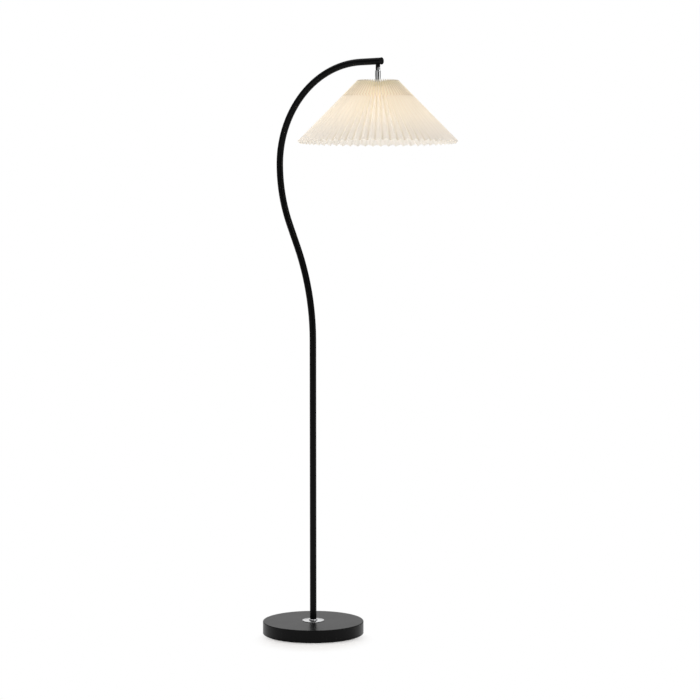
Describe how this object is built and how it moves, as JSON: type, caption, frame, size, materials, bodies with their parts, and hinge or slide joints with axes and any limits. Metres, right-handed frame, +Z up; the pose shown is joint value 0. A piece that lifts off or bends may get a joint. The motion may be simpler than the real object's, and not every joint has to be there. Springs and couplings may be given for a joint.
{
  "type": "arc floor lamp",
  "caption": "Arc floor lamp: round weighted base, slim S-curved pole and arm, and a pleated conical shade on a tilting head.",
  "frame": {"origin": "centre of the underside of the foot pad, on the floor, under the axis of the straight pole", "axes": "+Z up along the pole, +X towards the free end of the arm and the shade, +Y completes the right-handed frame"},
  "size_m": [0.5302, 0.4004, 1.4674],
  "materials": {
    "black_coat": "semi-gloss black powder coat",
    "white_coat": "satin white paint",
    "cast_iron": "rough casting",
    "foam": "closed-cell foam",
    "black_plastic": "satin moulded plastic",
    "chrome": "polished chrome plate",
    "zinc_steel": "zinc plated steel",
    "white_plastic": "moulded white plastic",
    "ceramic": "glazed ceramic",
    "brass": "bare brass",
    "nickel": "nickel plated shell",
    "black_glass": "vitrite insulator",
    "opal": "opal diffuser",
    "shade_fabric": "cream pleated laminate",
    "lead_sheath": "PVC sheath"
  },
  "bodies": {
    "stand": {"base_cover": "black_coat", "base_weight": "cast_iron", "foot_pad": "foam", "cord_bushing": "black_plastic", "base_flange": "chrome", "pole_hub": "chrome", "base_nipple": "zinc_steel", "base_washer": "zinc_steel", "base_spring_washer": "zinc_steel", "base_nut": "zinc_steel", "pole_lower": "black_coat", "pole_middle": "black_coat", "pole_foot_bush": "zinc_steel", "joint_bush_lower": "zinc_steel", "joint_stud_lower": "zinc_steel", "joint_bush_upper": "zinc_steel", "joint_stud_upper": "zinc_steel", "arm_tube": "black_coat", "arm_end_cap": "black_plastic", "arm_end_disc": "black_plastic", "arm_boss": "black_coat", "swivel_upper": "black_coat", "pivot_screw": "chrome", "pivot_nut": "zinc_steel", "friction_washer": "zinc_steel", "pole_lead": "lead_sheath"},
    "head": {"swivel_lower": "chrome", "head_sleeve": "chrome", "head_nipple": "zinc_steel", "holder_cap": "white_plastic", "holder_body": "white_plastic", "holder_core": "ceramic", "holder_screw_shell": "brass", "holder_contact": "brass", "shade_ring": "white_plastic", "shade_carrier": "white_coat", "pleated_shade": "shade_fabric", "bulb_tip": "brass", "bulb_insulator": "black_glass", "bulb_cap": "nickel", "bulb_housing": "white_plastic", "bulb_diffuser": "opal", "head_lead": "lead_sheath"}
  },
  "joints": [
    {"name": "head_tilt", "type": "hinge", "parent": "stand", "child": "head", "pos_m": [0.19802, 0, 1.43979], "axis": [1, 0, 0], "range_deg": [-45, 45]}
  ]
}
